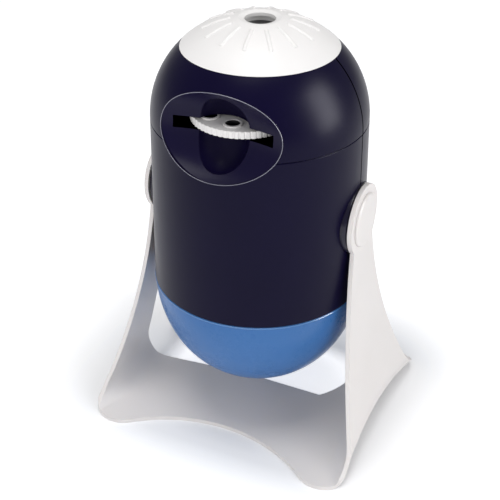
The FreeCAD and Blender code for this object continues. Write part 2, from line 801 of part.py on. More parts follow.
def make_slide_disc():
    """Knurled disc with framed round windows and its films."""
    body = doc.addObject("PartDesign::Body", "slide_disc_body")
    raised(body, "disc_plate", ring_sketch(body, "disc_rim", "disc_radius"), "disc_thickness")
    ring = "-disc_offset"
    frame = raised(body, "picture_frame", ring_sketch(
        body, "frame_ring", "picture_radius + frame_width", along=ring,
        lift="disc_thickness"), "frame_height")
    patterned(body, "picture_frames", [frame], "window_count")
    doc.recompute()
    window = bored(body, "picture_window", ring_sketch(body, "window_ring", "picture_radius", along=ring))
    patterned(body, "picture_windows", [window], "window_count")
    notch = bored(body, "rim_notch", ring_sketch(
        body, "notch_ring", "knurl_radius", along="-disc_radius - knurl_radius / 3"))
    patterned(body, "rim_knurl", [notch], "knurl_count")
    body.Tip = bored(body, "spindle_bore", ring_sketch(body, "bore_ring", "spindle_radius + running_fit"))
    place(body, y="-disc_offset", z="disc_base",
          axis=FreeCAD.Vector(0, 0, 1), turn=number("picture_turn"))
    finished("slide_disc", body)

    films = []
    for step in range(int(number("window_count"))):
        turn = f"((360 / window_count * {step} + picture_turn) * 1 deg)"
        films.append(rod(f"film_{step}", "picture_radius", "film_thickness",
                         x=f"disc_offset * sin{turn}",
                         y=f"-disc_offset - disc_offset * cos{turn}",
                         z="disc_base + disc_thickness / 4"))
    finished("slide_films", fuse("film_group", *films))


def trimmed_round(name, radius, base, height):
    """A round plate cut back to clear the port insert."""
    plate = rod(name + "_round", radius, height, z=base)
    block = box(name + "_front", ("-" + FAR, "-" + FAR, f"{base} - 1"),
                (FAR, "-port_depth", f"{base} + {height} + 1"))
    return cut(name + "_trimmed", plate, block)


def make_decks_and_light():
    """Decks inside the shoulder, the disc's spindle and the lamp under the disc."""
    deck = trimmed_round("disc_deck", "deck_seat_radius - shell_fit", "disc_deck_base",
                         "deck_thickness")
    light_way = rod("light_way", "picture_radius + frame_width", "deck_thickness + 2",
                    z="disc_deck_base - 1")
    finished("disc_deck", cut("disc_deck_cut", deck, light_way))

    finished("disc_spindle", revolved_at("disc_spindle_body", [
        ("0", "0"), ("spindle_shoulder", "0"), ("spindle_shoulder", "disc_lift - running_fit"),
        ("spindle_radius", "disc_lift - running_fit"),
        ("spindle_radius", "disc_lift + disc_thickness + frame_height"),
        ("0", "disc_lift + disc_thickness + frame_height"),
    ], y="-disc_offset", z="shoulder_height"))

    ledge = "lamp_tower_height - condenser_drop"
    finished("lamp_tower", revolved_at("lamp_tower_body", [
        ("0", "0"), ("lamp_tower_radius", "0"), ("lamp_tower_radius", "lamp_tower_height"),
        ("tower_inner", "lamp_tower_height"), ("tower_inner", ledge),
        ("tower_inner - condenser_ledge", ledge), ("tower_inner - condenser_ledge", "wall"),
        ("0", "wall"),
    ], z="tower_base"))
    finished("lamp_led", revolved_at("lamp_led_body", [
        ("0", "0"), ("led_radius", "0"), ("led_radius", "led_height", "led_radius", 1),
        ("0", "led_height + led_radius"),
    ], z="tower_base + wall"))
    rim = "(tower_inner - running_fit)"
    finished("condenser_lens", revolved_at("condenser_body", [
        ("0", "0"), (rim, "0"), (rim, "lens_edge", "condenser_curve", 1),
        ("0", f"lens_edge + condenser_curve - sqrt(condenser_curve^2 - {rim}^2)"),
    ], z="disc_deck_base - condenser_drop"))

    seat = "shoulder_centre + sqrt(shoulder_inner^2 - (lens_deck_top - shoulder_height)^2)"
    plate = trimmed_round("lens_deck", f"{seat} - shell_fit", "lens_deck_base", "deck_thickness")
    guide = rod("lens_guide", "guide_radius", "deck_thickness + guide_height", z="lens_deck_base")
    legs = [rod(f"lens_leg_{side}_{end}", "leg_radius", "lens_deck_rise + deck_thickness / 2",
                x=f"{sign}leg_{end}_span", y=depth, z="shoulder_height")
            for side, sign in (("right", ""), ("left", "-"))
            for end, depth in (("front", "-leg_front_depth"), ("rear", "leg_rear_depth"))]
    light = rod("guide_bore", "guide_radius - guide_wall", "deck_thickness + guide_height + 2",
                z="lens_deck_base - 1")
    finished("lens_deck", cut("lens_deck_cut", fuse("lens_deck_joined", plate, guide, *legs), light))


def revolved_at(name, path, **where):
    """A revolved body in its own frame, put in place."""
    return place(revolved(name, path), **where)


# ---------------------------------------------------------------- focus

def make_focus_cap():
    """Ribbed dome cap with a threaded sleeve, shown plain, round the lens holder."""
    inner_crown = "cap_centre + sqrt(cap_inner^2 - sleeve_radius^2)"
    shell = revolved("focus_cap_shell", [
        ("cap_bore", "shoulder_top"),
        ("cap_rim", "shoulder_top", "cap_sphere", 1),
        ("cap_lip", "cap_crown"),
        ("cap_hole", "cap_hole_top"),
        ("cap_hole", "cap_hole_base"),
        ("sleeve_bore", "cap_hole_base"),
        ("sleeve_bore", "sleeve_base"),
        ("sleeve_radius", "sleeve_base"),
        ("sleeve_radius", inner_crown, "cap_inner", -1),
        ("cap_bore", "cap_centre + sqrt(cap_inner^2 - cap_bore^2)"),
    ])
    finished("focus_cap", fuse("focus_cap_joined", shell, *make_ribs()))


def make_ribs():
    """Round-backed ribs that follow the cap's dome, each an arc of bar with balled ends."""
    bow = "(cap_sphere + rib_height - rib_radius)"
    leans = [math.degrees(math.asin(number(size) / number(bow))) for size in ("rib_inner", "rib_outer")]
    ribs = []
    for step in range(int(number("rib_count"))):
        turn = 360 / number("rib_count") * step + number("rib_turn")
        upright = FreeCAD.Rotation(FreeCAD.Vector(0, 0, 1), turn - 90)
        forward = FreeCAD.Rotation(FreeCAD.Vector(1, 0, 0), 90)
        back = FreeCAD.Rotation(FreeCAD.Vector(0, 0, 1), 90 - leans[1])
        bar = primitive("Torus", f"rib_bar_{step}", {"Radius1": bow, "Radius2": "rib_radius"})
        bar.Angle3 = leans[1] - leans[0]
        bar.Placement.Rotation = upright.multiply(forward).multiply(back)
        ribs.append(place(bar, z="cap_centre"))
        for lean in leans:
            tilt = FreeCAD.Rotation(FreeCAD.Vector(0, 1, 0), lean)
            reach = upright.multiply(tilt).multVec(FreeCAD.Vector(0, 0, number(bow)))
            ball = primitive("Sphere", f"rib_end_{step}", {"Radius": "rib_radius"})
            ball.Placement.Base = reach + FreeCAD.Vector(0, 0, number("cap_centre"))
            ribs.append(ball)
    return ribs


def make_lens():
    """Lens and its holder, which slides on the lens deck's guide tube."""
    guide_bore = "guide_radius + running_fit"
    finished("lens_holder", revolved("lens_holder_body", [
        (guide_bore, "holder_base"),
        ("holder_radius", "holder_base"),
        ("holder_radius", "holder_top"),
        ("lens_radius + holder_flare", "holder_top"),
        ("lens_radius + running_fit", "holder_top - holder_flare_depth"),
        ("lens_radius + running_fit", "holder_seat"),
        ("guide_radius - guide_wall", "holder_seat"),
        ("guide_radius - guide_wall", "holder_seat - lens_seat"),
        (guide_bore, "holder_seat - lens_seat"),
    ]))
    curve = "((lens_radius^2 + lens_bulge^2) / (2 * lens_bulge))"
    finished("focus_lens", revolved("focus_lens_body", [
        ("0", "holder_seat"), ("lens_radius", "holder_seat"),
        ("lens_radius", "holder_seat + lens_edge", curve, 1),
        ("0", "holder_seat + lens_edge + lens_bulge"),
    ]))


# ---------------------------------------------------------------- supply and switch

def make_supply(envelope, hollow):
    """Battery box, cells and door, and the board on the box."""
    half = "box_half_width"
    case = box("box_case", (f"-{half}", "box_front", "box_base"), (half, "box_back", "box_top"))
    tabs = box("box_tabs", ("-seam_radius", "tab_depth", "tab_base"),
               ("seam_radius", "tab_depth + box_wall", "tab_base + tab_height"))
    room = box("box_room", (f"-({half} - box_wall)", "box_front + box_wall", "box_base + box_wall"),
               (f"{half} - box_wall", FAR, "box_top - box_wall"))
    post = rod("door_post", "door_post_radius", FAR,
               y="cell_back + shell_fit", z="door_screw_height", **ALONG_Y)
    hole = rod("door_screw_hole", "screw_radius + running_fit", "2 * screw_length",
               y="door_screw_seat - screw_length", z="door_screw_height", **ALONG_Y)
    tray = cut("box_tray", fuse("box_shell", case, tabs), room)
    box_solid = common("box_in_hollow", fuse("box_with_post", tray, post), hollow)
    finished("battery_box", cut("battery_box_cut", box_solid, hole))
    cells = []
    for step in range(int(number("cell_count"))):
        across = f"cell_pitch * ({step} - (cell_count - 1) / 2)"
        middle = "box_front + box_wall + cell_radius"
        bottom = "(box_base + box_wall + cell_room)"
        cells.append(rod(f"cell_{step}", "cell_radius", "cell_length", x=across, y=middle, z=bottom))
        cells.append(rod(f"cell_nub_{step}", "cell_radius / 3", "cell_length + nub_height",
                         x=across, y=middle, z=bottom))
    finished("battery_cells", fuse("cell_group", *cells))

    face = common("door_face", envelope, door_block("door_block", "0"))
    sink = rod("door_screw_sink", "screw_head + shell_fit", FAR,
               y="door_screw_seat", z="door_screw_height", **ALONG_Y)
    finished("battery_door", cut("battery_door_cut", face, hollow, hole, sink))
    finished("door_screw", screw("door_screw", "0", "door_screw_seat", "door_screw_height"))
    finished("circuit_board", box("board_plate",
                                  ("-board_half_width", "box_front - board_thickness", "board_base"),
                                  ("board_half_width", "box_front", "board_base + board_height")))


def screw(name, across, depth, level):
    """A screw along Y whose head starts at a depth and points to the rear."""
    shank = rod(name + "_shank", "screw_radius", "screw_length",
                x=across, y=f"{depth} - screw_length", z=level, **ALONG_Y)
    head = rod(name + "_head", "screw_head", "screw_head_height",
               x=across, y=depth, z=level, **ALONG_Y)
    return fuse(name + "_whole", shank, head)


def make_shell_screws():
    """The four screws that clamp the lower shells, as one group."""
    whole = [screw("screw_" + name, across, "screw_seat", level)
             for name, across, level in screw_places()]
    finished("shell_screws", fuse("shell_screw_group", *whole))


def make_switch(hollow):
    """Slide switch at the back: a knob in the wall's slot and the tray that it runs in."""
    knob = box("switch_knob",
               ("-switch_half_width", "flange_front", "switch_height - switch_half_height"),
               ("switch_half_width", "shoulder_radius + switch_proud",
                "switch_height + switch_half_height"))
    flange = box("switch_plate",
                 ("-flange_half_width", "flange_front", "switch_height - flange_half_height"),
                 ("flange_half_width", "flange_back", "switch_height + flange_half_height"))
    finished("switch_slider", fuse("switch_slider_joined", knob, flange))

    inner = "(flange_half_width + switch_play)"
    low = "(switch_height - flange_half_height - switch_play)"
    high = "(switch_height + switch_travel + flange_half_height + switch_play)"
    block = box("switch_block",
                (f"-({inner} + box_wall)", "flange_front - switch_base_depth", f"{low} - box_wall"),
                (f"{inner} + box_wall", FAR, f"{high} + box_wall"))
    run = box("switch_run", (f"-{inner}", "flange_front - running_fit", low), (inner, FAR, high))
    tray = cut("switch_tray", block, run)
    finished("switch_base", common("switch_base_trimmed", tray, hollow))


# ---------------------------------------------------------------- build

def check(pieces):
    """Stop if any object failed, or any node is empty or broken."""
    failed = [item.Name for item in doc.Objects
              if "Invalid" in item.State or "Error" in item.State]
    failed += [label for label, piece in pieces.items()
               if piece.Shape.isNull() or not piece.Shape.isValid()]
    if failed:
        raise RuntimeError("failed: " + ", ".join(failed))


doc = FreeCAD.newDocument("planetarium_projector")
dims = make_sheet()
nodes = {}

make_stand()
make_pivots()
barrel = revolved("barrel_envelope", ENVELOPE)
room = make_hollow()
make_lower_shells()
make_upper_shells()
make_base_dome()
make_port_insert(barrel)
make_slide_disc()
make_decks_and_light()
make_focus_cap()
make_lens()
make_supply(barrel, room)
make_shell_screws()
make_switch(room)
doc.recompute()
check(nodes)

os.makedirs("parts", exist_ok=True)
for label, piece in nodes.items():
    piece.Shape.exportStep(f"parts/{label}.step")
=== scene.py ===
"""Dresses a planetarium projector: a capsule barrel that tips between a stand's arms.

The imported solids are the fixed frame, in metres: +X along the tilt axis, -Y the
side with the slide port, +Z up. Each sub-assembly is a class that dresses its
solids and models the small pieces that sit on them.
"""

import logging
import math
from dataclasses import dataclass, field
from enum import Enum
from functools import cache
from typing import Any, Sequence

import bmesh
import bpy
from mathutils import Euler, Matrix, Vector

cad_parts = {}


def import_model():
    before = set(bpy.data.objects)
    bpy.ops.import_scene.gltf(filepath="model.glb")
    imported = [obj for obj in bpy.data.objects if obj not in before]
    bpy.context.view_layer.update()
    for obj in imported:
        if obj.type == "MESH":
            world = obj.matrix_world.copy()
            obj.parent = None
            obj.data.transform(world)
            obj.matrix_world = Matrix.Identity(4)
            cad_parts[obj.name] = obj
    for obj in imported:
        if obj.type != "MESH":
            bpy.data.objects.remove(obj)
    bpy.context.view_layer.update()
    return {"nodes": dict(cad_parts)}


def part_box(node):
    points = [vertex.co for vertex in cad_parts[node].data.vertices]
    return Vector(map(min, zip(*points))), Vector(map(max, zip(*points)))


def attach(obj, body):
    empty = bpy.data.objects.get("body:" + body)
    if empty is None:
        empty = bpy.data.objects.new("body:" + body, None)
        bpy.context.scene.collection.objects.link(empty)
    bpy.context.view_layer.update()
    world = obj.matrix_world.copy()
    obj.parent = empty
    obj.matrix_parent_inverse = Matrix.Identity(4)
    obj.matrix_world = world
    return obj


LOG = logging.getLogger("planetarium_projector")

Colour = tuple[float, float, float]


def rgba(colour: Colour) -> tuple[float, float, float, float]:
    """The colour with full opacity."""
    return (*colour, 1.0)


class Wire:
    """A shader socket that adds Math nodes when it is used in an expression."""

    def __init__(self, graph: "Graph", socket: bpy.types.NodeSocket) -> None:
        """Wraps a socket of the graph."""
        self.graph = graph
        self.socket = socket

    def _math(self, operation: str, *values: Any) -> "Wire":
        """A Math node over the values."""
        return self.graph.add("ShaderNodeMath", {"operation": operation}, dict(enumerate(values)))

    def __add__(self, other: Any) -> "Wire":
        """This plus the other."""
        return self._math("ADD", self, other)

    def __radd__(self, other: Any) -> "Wire":
        """The other plus this."""
        return self._math("ADD", other, self)

    def __sub__(self, other: Any) -> "Wire":
        """This less the other."""
        return self._math("SUBTRACT", self, other)

    def __rsub__(self, other: Any) -> "Wire":
        """The other less this."""
        return self._math("SUBTRACT", other, self)

    def __mul__(self, other: Any) -> "Wire":
        """This times the other."""
        return self._math("MULTIPLY", self, other)

    def __rmul__(self, other: Any) -> "Wire":
        """The other times this."""
        return self._math("MULTIPLY", other, self)

    def __pow__(self, other: Any) -> "Wire":
        """This to the power of the other."""
        return self._math("POWER", self, other)

    def over(self, edge: float) -> "Wire":
        """One where this is greater than the edge, else zero."""
        return self._math("GREATER_THAN", self, edge)

    def size(self) -> "Wire":
        """This without its sign."""
        return self._math("ABSOLUTE", self)

    def at_least(self, floor: Any) -> "Wire":
        """The larger of this and the floor."""
        return self._math("MAXIMUM", self, floor)


class Graph:
    """The node tree of one material, ending in a Principled shader."""

    def __init__(self, name: str) -> None:
        """Makes an empty material.

        Args:
            name: The material's name.
        """
        self.material = bpy.data.materials.new(name)
        self.material.use_nodes = True
        self.tree = self.material.node_tree
        self.tree.nodes.clear()

    def add(self, kind: str, settings: dict[str, Any], inputs: dict[Any, Any],
            output: int | str = 0) -> Wire:
        """Adds a node.

        Args:
            kind: The node's type.
            settings: Properties that are set before the sockets.
            inputs: Values or wires by socket name or number.
            output: The socket that is returned.

        Returns:
            The chosen output.
        """
        node = self.tree.nodes.new(kind)
        for name, value in settings.items():
            if name == "stops":
                self._set_stops(node, value)
            else:
                setattr(node, name, value)
        for name, value in inputs.items():
            if isinstance(value, Wire):
                self.tree.links.new(value.socket, node.inputs[name])
            else:
                node.inputs[name].default_value = value
        return Wire(self, node.outputs[output])

    @staticmethod
    def _set_stops(node: bpy.types.Node, stops: Sequence[tuple[float, float]]) -> None:
        """Sets a ramp's stops, each a place and a grey level."""
        ramp = node.color_ramp
        while len(ramp.elements) < len(stops):
            ramp.elements.new(0.5)
        for element, (place, level) in zip(ramp.elements, stops):
            element.position = place
            element.color = (level, level, level, 1.0)

    def place(self) -> Wire:
        """The object's own coordinates, in metres."""
        return self.add("ShaderNodeTexCoord", {}, {}, "Object")

    def part(self, axis: str) -> Wire:
        """One of the object's own coordinates."""
        return self.add("ShaderNodeSeparateXYZ", {}, {0: self.place()}, axis)

    def noise(self, scale: float, detail: float = 2.0, roughness: float = 0.5) -> Wire:
        """A smooth noise from 0 to 1.

        Args:
            scale: Cells for each metre.
            detail: Octaves.
            roughness: How strongly the finer octaves show.

        Returns:
            The noise.
        """
        return self.add("ShaderNodeTexNoise", {"noise_dimensions": "3D"},
                        {"Vector": self.place(), "Scale": scale, "Detail": detail,
                         "Roughness": roughness})

    def ramp(self, level: Wire, stops: Sequence[tuple[float, float]]) -> Wire:
        """The level remapped by straight runs between stops."""
        return self.add("ShaderNodeValToRGB", {"stops": stops}, {0: level})

    def blend(self, amount: Any, first: Any, second: Any) -> Wire:
        """A colour between two, by the amount."""
        inputs = {0: amount, 6: first, 7: second}
        return self.add("ShaderNodeMix", {"data_type": "RGBA"}, inputs, 2)

    def bump(self, height: Wire, depth: float, under: Wire) -> Wire:
        """A normal from a height.

        Args:
            height: The height field, about 0 to 1.
            depth: What a height of 1 stands for, in metres.
            under: A normal that this one adds to.

        Returns:
            The normal.
        """
        return self.add("ShaderNodeBump", {}, {"Height": height, "Distance": depth,
                                               "Strength": 1.0, "Normal": under})

    def soft_edge(self, radius: float, samples: int = 6) -> Wire:
        """A normal that rounds sharp edges by the radius."""
        return self.add("ShaderNodeBevel", {"samples": samples}, {"Radius": radius})

    def line(self, axis: str, half_width: float, core: float = 0.45) -> Wire:
        """One on the plane where a coordinate is zero, fading to zero beside it.

        Args:
            axis: The coordinate.
            half_width: Where it has faded out, in metres.
            core: The share of the half width that is still one.

        Returns:
            The mask.
        """
        away = self.part(axis).size() * (1.0 / half_width)
        return self.ramp(away, [(core, 1.0), (1.0, 0.0)])

    def finish(self, inputs: dict[str, Any], painted_shade: Wire | None = None) -> bpy.types.Material:
        """Closes the tree with a Principled shader.

        Args:
            inputs: Its values or wires.
            painted_shade: Where black is painted over the surface as shade.

        Returns:
            The material.
        """
        shader = self.add("ShaderNodeBsdfPrincipled", {}, inputs)
        if painted_shade is not None:
            # Painted shade: a black diffuse shader is mixed in where the mask is one.
            dark = self.add("ShaderNodeBsdfDiffuse", {}, {"Color": (0.0, 0.0, 0.0, 1.0)})
            shader = self.add("ShaderNodeMixShader", {}, {0: painted_shade, 1: shader, 2: dark})
        self.add_output(shader)
        return self.material

    def add_output(self, shader: Wire) -> None:
        """Links the shader to the material's surface."""
        node = self.tree.nodes.new("ShaderNodeOutputMaterial")
        self.tree.links.new(shader.socket, node.inputs["Surface"])


@dataclass(frozen=True)
class Recess:
    """A level slot whose inside is painted black as shade, since no light reaches it.

    Attributes:
        half_width: Half its width in metres.
        middle: The height of its middle.
        half_height: Half its height.
    """

    half_width: float
    middle: float
    half_height: float

    def mask(self, graph: Graph) -> Wire:
        """One inside the slot, else zero."""
        beside = graph.part("X").size().over(self.half_width)
        above = (graph.part("Z") - self.middle).size().over(self.half_height)
        return (1.0 - beside) * (1.0 - above)


@dataclass(frozen=True)
class MouldedPlastic:
    """An injection-moulded plastic with a fine spark-eroded grain.

    Attributes:
        name: The material's name.
        colour: Linear base colour.
        shade: Colour of its darker mottling.
        gloss: Mean roughness.
        mirror: Specular level of its skin.
        grain: Cells of grain for each metre.
        grain_depth: Depth of the grain in metres.
        edge: Radius that sharp edges are rounded by, in metres.
        glow: Subsurface weight, for pale plastics.
        glow_reach: How far red, green and blue scatter, in metres before the scale.
        glow_scale: The scale of that reach.
        seam_shade_width: Half width of the painted shade on the line where the
        mould's halves met, in the pivot plane, in metres.
        slot_shade: A slot whose inside is painted black as shade.
        drift: Cells of colour drift for each metre.
        smear: Cells of handling smears for each metre.
        smear_swing: How far the smears move the roughness.
        grain_swing: How far the grain moves the roughness.
    """

    name: str
    colour: Colour
    shade: Colour
    gloss: float
    mirror: float = 0.5
    grain: float = 2600.0
    grain_depth: float = 0.000012
    edge: float = 0.0004
    glow: float = 0.0
    glow_reach: tuple[float, float, float] = (0.004, 0.003, 0.002)
    glow_scale: float = 0.5
    seam_shade_width: float = 0.0
    slot_shade: Recess | None = None
    drift: float = 16.0
    smear: float = 60.0
    smear_swing: float = 0.10
    grain_swing: float = 0.05

    def make(self) -> bpy.types.Material:
        """Builds the material."""
        graph = Graph(self.name)
        cloud = graph.ramp(graph.noise(self.drift, detail=3.0), [(0.35, 0.0), (0.65, 1.0)])
        grain = graph.noise(self.grain, roughness=0.6)
        smear = graph.noise(self.smear, detail=4.0, roughness=0.65)
        inputs = {
            "Base Color": graph.blend(cloud, rgba(self.shade), rgba(self.colour)),
            "Roughness": ((smear - 0.5) * self.smear_swing + (grain - 0.5) * self.grain_swing
                          + self.gloss),
            "Specular IOR Level": self.mirror,
            "Normal": graph.bump(grain, self.grain_depth, graph.soft_edge(self.edge)),
        }
        if self.glow:
            inputs["Subsurface Weight"] = self.glow
            inputs["Subsurface Radius"] = self.glow_reach
            inputs["Subsurface Scale"] = self.glow_scale
        # Painted shade: the seam between the shells' halves is drawn black.
        if self.seam_shade_width:
            return graph.finish(inputs, graph.line("Y", self.seam_shade_width))
        # Painted shade: the slot's inside is drawn black.
        if self.slot_shade is not None:
            return graph.finish(inputs, self.slot_shade.mask(graph))
        return graph.finish(inputs)


@dataclass(frozen=True)
class TurnedMetal:
    """A plated metal with fine scratches.

    Attributes:
        name: The material's name.
        colour: Linear base colour.
        gloss: Mean roughness.
        scratch: Cells of scratches for each metre.
        scratch_swing: How far the scratches move the roughness.
        scratch_depth: Depth of the scratches in metres.
        edge: Radius that sharp edges are rounded by, in metres.
    """

    name: str
    colour: Colour
    gloss: float
    scratch: float = 900.0
    scratch_swing: float = 0.2
    scratch_depth: float = 0.000008
    edge: float = 0.0002

    def make(self) -> bpy.types.Material:
        """Builds the material."""
        graph = Graph(self.name)
        scratch = graph.noise(self.scratch, detail=5.0, roughness=0.7)
        return graph.finish({
            "Base Color": rgba(self.colour),
            "Metallic": 1.0,
            "Roughness": (scratch - 0.5) * self.scratch_swing + self.gloss,
            "Normal": graph.bump(scratch, self.scratch_depth, graph.soft_edge(self.edge)),
        })


@dataclass(frozen=True)
class ClearLens:
    """A clear moulded lens with a faint haze.

    Attributes:
        name: The material's name.
        tint: Linear tint.
        gloss: Roughness where it is clearest.
        haze: Cells of haze for each metre.
        haze_swing: How much roughness the haze adds.
        refraction: The plastic's index of refraction.
    """

    name: str
    tint: Colour
    gloss: float = 0.02
    haze: float = 300.0
    haze_swing: float = 0.04
    refraction: float = 1.49

    def make(self) -> bpy.types.Material:
        """Builds the material."""
        graph = Graph(self.name)
        return graph.finish({
            "Base Color": rgba(self.tint),
            "Roughness": graph.noise(self.haze, detail=3.0) * self.haze_swing + self.gloss,
            "Transmission Weight": 1.0,
            "IOR": self.refraction,
        })


@dataclass(frozen=True)
class StarFilm:
    """A dark slide film scattered with small pale stars.

    Attributes:
        name: The material's name.
        night: Linear colour of the ground.
        star: Linear colour of the stars.
        star_cells: Cells with a star for each metre.
        star_reach: Radius of a star, as a share of its cell.
        haze: Cells of haze for each metre.
        haze_lift: How many times brighter the ground is in the haze.
        gloss: Roughness where it is clearest.
        haze_swing: How much roughness the haze adds.
        mirror: Specular level of its skin.
    """

    name: str
    night: Colour
    star: Colour
    star_cells: float = 900.0
    star_reach: float = 0.16
    haze: float = 350.0
    haze_lift: float = 2.2
    gloss: float = 0.30
    haze_swing: float = 0.05
    mirror: float = 0.15

    def make(self) -> bpy.types.Material:
        """Builds the material."""
        graph = Graph(self.name)
        distance = graph.add("ShaderNodeTexVoronoi", {"feature": "F1"},
                             {"Vector": graph.place(), "Scale": self.star_cells}, "Distance")
        stars = graph.ramp(distance, [(0.0, 1.0), (self.star_reach, 0.0)])
        haze = graph.noise(self.haze, detail=4.0)
        milky = rgba(tuple(self.haze_lift * level for level in self.night))
        return graph.finish({
            "Base Color": graph.blend(stars, graph.blend(haze, rgba(self.night), milky),
                                      rgba(self.star)),
            "Roughness": haze * self.haze_swing + self.gloss,
            "Specular IOR Level": self.mirror,
        })


@dataclass(frozen=True)
class BoardLaminate:
    """A green circuit laminate with copper tracks under its mask.

    Attributes:
        name: The material's name.
        mask: Linear colour of the solder mask.
        track: Linear colour over the tracks.
        track_cells: Cells between tracks for each metre.
        track_width: Width of a track, as a share of its cell.
        gloss: Roughness where it is smoothest.
        haze: Cells of haze for each metre.
        haze_swing: How much roughness the haze adds.
    """

    name: str
    mask: Colour
    track: Colour
    track_cells: float = 110.0
    track_width: float = 0.06
    gloss: float = 0.3
    haze: float = 200.0
    haze_swing: float = 0.1

    def make(self) -> bpy.types.Material:
        """Builds the material."""
        graph = Graph(self.name)
        tracks = graph.add("ShaderNodeTexBrick", {"offset": 0.5},
                           {"Vector": graph.place(), "Scale": self.track_cells,
                            "Mortar Size": self.track_width, "Color1": rgba(self.mask),
                            "Color2": rgba(self.mask), "Mortar": rgba(self.track)})
        return graph.finish({
            "Base Color": tracks,
            "Roughness": graph.noise(self.haze) * self.haze_swing + self.gloss,
        })


class Finish(Enum):
    """The projector's finishes."""

    WARM_WHITE = MouldedPlastic(
        "warm_white_plastic", (0.74, 0.710, 0.698), (0.71, 0.682, 0.670), 0.42,
        edge=0.0005, glow=0.05)
    CAP_WHITE = MouldedPlastic(
        "cap_white_plastic", (0.800, 0.786, 0.780), (0.775, 0.761, 0.755), 0.38,
        mirror=0.2, edge=0.00015)
    # The navy shells carry a black line of painted shade on their seam.
    NAVY = MouldedPlastic(
        "navy_plastic", (0.0032, 0.0019, 0.0195), (0.0026, 0.0015, 0.0165), 0.32,
        mirror=0.10, grain_depth=0.000004, seam_shade_width=0.0007)
    # Painted light: the dish is the body's navy made lighter for the light it catches; its slot is
    # painted shade.
    LIT_NAVY_DISH = MouldedPlastic(
        "navy_dish_painted_light_and_shade", (0.0060, 0.0040, 0.0260), (0.0050, 0.0034, 0.0225), 0.34,
        mirror=0.14, grain_depth=0.000004, edge=0.0005,
        slot_shade=Recess(half_width=0.0272, middle=0.19085, half_height=0.0031))
    NAVY_HUB = MouldedPlastic(
        "navy_hub_plastic", (0.0050, 0.0035, 0.0180), (0.0042, 0.0030, 0.0150), 0.24,
        mirror=0.4, grain_depth=0.000003, edge=0.0006)
    # Painted highlight: the port's rim bead is navy plastic coloured pale grey for the light along
    # its edge.
    NAVY_RIM_HIGHLIGHT = MouldedPlastic(
        "navy_rim_painted_highlight", (0.22, 0.22, 0.28), (0.12, 0.12, 0.16), 0.16,
        mirror=1.0, grain_depth=0.000002, edge=0.0002)
    SKY_BLUE = MouldedPlastic(
        "sky_blue_plastic", (0.037, 0.138, 0.365), (0.035, 0.132, 0.350), 0.28,
        mirror=0.26, grain_depth=0.000003, edge=0.0006)
    # Painted highlight: the dome's lip bead is a lighter blue than the dome for the light along
    # its edge.
    BLUE_LIP_HIGHLIGHT = MouldedPlastic(
        "blue_lip_painted_highlight", (0.060, 0.190, 0.450), (0.050, 0.170, 0.410), 0.16,
        mirror=1.0, grain_depth=0.000001, edge=0.0001)
    BLACK = MouldedPlastic("black_plastic", (0.006, 0.006, 0.007), (0.004, 0.004, 0.005), 0.5)
    GREY = MouldedPlastic("grey_plastic", (0.045, 0.045, 0.048), (0.035, 0.035, 0.038), 0.4)
    CELL = MouldedPlastic("cell_jacket", (0.02, 0.02, 0.025), (0.015, 0.015, 0.02), 0.25)
    STEEL = TurnedMetal("plated_steel", (0.55, 0.54, 0.52), 0.32)
    LENS = ClearLens("clear_lens", (0.38, 0.41, 0.46))
    FILM = StarFilm("star_film", (0.001, 0.001, 0.004), (0.35, 0.40, 0.50))
    BOARD = BoardLaminate("board_laminate", (0.010, 0.075, 0.030), (0.030, 0.15, 0.060))

    @cache
    def material(self) -> bpy.types.Material:
        """The finish's material, made once."""
        return self.value.make()


@dataclass
class Assembly:
    """A sub-assembly that dresses its solids.

    Attributes:
        body: The body that its new pieces ride on.
        finishes: The finish of each of its solids.
    """

    body: str
    finishes: dict[str, Finish] = field(default_factory=dict)

    def dress(self, nodes: dict[str, bpy.types.Object]) -> None:
        """Gives each solid its finish.

        Args:
            nodes: The frame's solids by name.
        """
        for name, finish in self.finishes.items():
            node = nodes[name]
            node.data.materials.clear()
            node.data.materials.append(finish.material())
            LOG.info("dressed %s", name)

    def add_piece(self, name: str, shape: bmesh.types.BMesh, finish: Finish, slot: str,
                  smooth: bool = True) -> None:
        """Turns a bmesh into a piece that rides on the body.

        Args:
            name: The piece's name.
            shape: Its mesh, in place.
            finish: Its finish.
            slot: Not used.
            smooth: Whether its faces are shaded smooth.
        """
        bmesh.ops.remove_doubles(shape, verts=shape.verts, dist=1e-7)
        bmesh.ops.recalc_face_normals(shape, faces=shape.faces)
        mesh = bpy.data.meshes.new(name)
        shape.to_mesh(mesh)
        shape.free()
        for face in mesh.polygons:
            face.use_smooth = smooth
        piece = bpy.data.objects.new(name, mesh)
        bpy.context.scene.collection.objects.link(piece)
        mesh.materials.append(finish.material())
        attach(piece, self.body)
        LOG.info("made %s", name)

    def build(self) -> None:
        """Makes the assembly's own pieces: none, unless a class adds them."""


def round_turn(steps: int) -> list[float]:
    """The angles of a full turn in equal steps, in radians."""
    return [2.0 * math.pi * step / steps for step in range(steps)]


